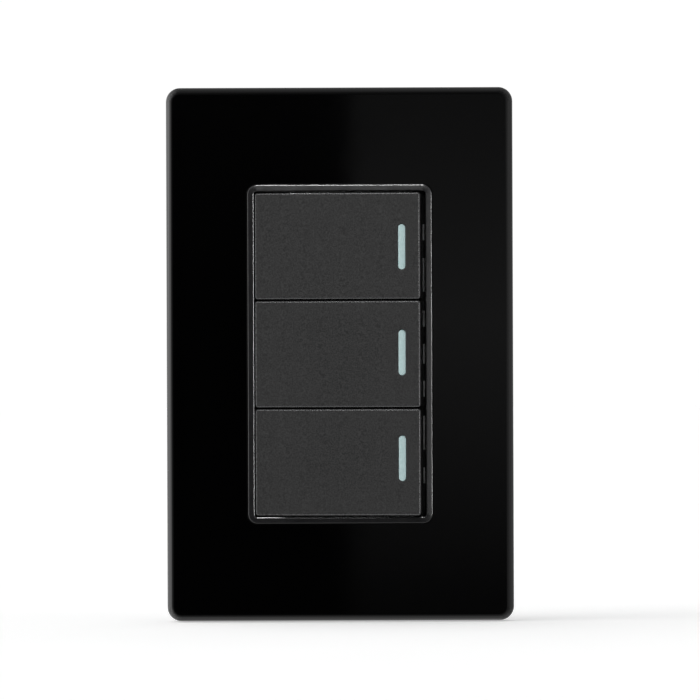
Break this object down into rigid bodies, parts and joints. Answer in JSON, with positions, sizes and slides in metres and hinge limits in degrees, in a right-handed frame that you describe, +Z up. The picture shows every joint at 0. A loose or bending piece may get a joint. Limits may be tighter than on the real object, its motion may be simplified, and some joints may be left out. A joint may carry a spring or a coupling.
{
  "type": "wall switch plate",
  "caption": "Wall switch with a glossy black cover plate, a raised trim ring round its window, stacked satin rockers with slim indicator strips, and a support frame with captive box screws.",
  "frame": {"origin": "middle of the plate on the wall plane, midway between the box screws", "axes": "+X right as seen from the room, +Y into the wall, +Z up along the plate's height; the front faces -Y"},
  "size_m": [0.078, 0.0341, 0.12],
  "materials": {
    "plate_gloss": "polished black",
    "trim_gloss": "glossy dark grey",
    "frame_plastic": "moulded, fine texture",
    "screw_steel": "zinc plated",
    "collar_plastic": "moulded, satin",
    "housing_plastic": "moulded grey",
    "key_satin": "satin graphite with fine grain",
    "strip_pale": "pale translucent",
    "carrier_nylon": "natural nylon",
    "spring_steel": "drawn wire",
    "lever_brass": "stamped",
    "contact_silver": "silver",
    "terminal_brass": "stamped and milled",
    "terminal_screw_steel": "yellow zinc plated"
  },
  "bodies": {
    "base": {"cover_plate": "plate_gloss", "window_trim": "trim_gloss", "support_frame": "frame_plastic", "box_screws": "screw_steel", "module_collar_top": "collar_plastic", "module_housing_top": "housing_plastic", "fixed_contact_top": "contact_silver", "fixed_terminal_top": "terminal_brass", "common_terminal_top": "terminal_brass", "terminal_screws_top": "terminal_screw_steel", "module_collar_middle": "collar_plastic", "module_housing_middle": "housing_plastic", "fixed_contact_middle": "contact_silver", "fixed_terminal_middle": "terminal_brass", "common_terminal_middle": "terminal_brass", "terminal_screws_middle": "terminal_screw_steel", "module_collar_bottom": "collar_plastic", "module_housing_bottom": "housing_plastic", "fixed_contact_bottom": "contact_silver", "fixed_terminal_bottom": "terminal_brass", "common_terminal_bottom": "terminal_brass", "terminal_screws_bottom": "terminal_screw_steel"},
    "rocker_top": {"rocker_key_top": "key_satin", "indicator_strip_top": "strip_pale", "rocker_carrier_top": "carrier_nylon", "plunger_top": "carrier_nylon", "plunger_spring_top": "spring_steel"},
    "lever_top": {"contact_lever_top": "lever_brass", "moving_contact_top": "contact_silver"},
    "rocker_middle": {"rocker_key_middle": "key_satin", "indicator_strip_middle": "strip_pale", "rocker_carrier_middle": "carrier_nylon", "plunger_middle": "carrier_nylon", "plunger_spring_middle": "spring_steel"},
    "lever_middle": {"contact_lever_middle": "lever_brass", "moving_contact_middle": "contact_silver"},
    "rocker_bottom": {"rocker_key_bottom": "key_satin", "indicator_strip_bottom": "strip_pale", "rocker_carrier_bottom": "carrier_nylon", "plunger_bottom": "carrier_nylon", "plunger_spring_bottom": "spring_steel"},
    "lever_bottom": {"contact_lever_bottom": "lever_brass", "moving_contact_bottom": "contact_silver"}
  },
  "joints": [
    {"name": "rocker_top_hinge", "type": "hinge", "parent": "base", "child": "rocker_top", "pos_m": [0, -0.0028, 0.0243], "axis": [0, 0, 1], "range_deg": [0, 8]},
    {"name": "lever_top_hinge", "type": "hinge", "parent": "base", "child": "lever_top", "pos_m": [0, 0.0105, 0.0243], "axis": [0, 0, 1], "range_deg": [-12, 0]},
    {"name": "rocker_middle_hinge", "type": "hinge", "parent": "base", "child": "rocker_middle", "pos_m": [0, -0.0028, 0], "axis": [0, 0, 1], "range_deg": [0, 8]},
    {"name": "lever_middle_hinge", "type": "hinge", "parent": "base", "child": "lever_middle", "pos_m": [0, 0.0105, 0], "axis": [0, 0, 1], "range_deg": [-12, 0]},
    {"name": "rocker_bottom_hinge", "type": "hinge", "parent": "base", "child": "rocker_bottom", "pos_m": [0, -0.0028, -0.0243], "axis": [0, 0, 1], "range_deg": [0, 8]},
    {"name": "lever_bottom_hinge", "type": "hinge", "parent": "base", "child": "lever_bottom", "pos_m": [0, 0.0105, -0.0243], "axis": [0, 0, 1], "range_deg": [-12, 0]}
  ],
  "couplings": [
    {"joint": "lever_top_hinge", "follows": "rocker_top_hinge", "ratio": -1.5},
    {"joint": "lever_middle_hinge", "follows": "rocker_middle_hinge", "ratio": -1.5},
    {"joint": "lever_bottom_hinge", "follows": "rocker_bottom_hinge", "ratio": -1.5}
  ]
}
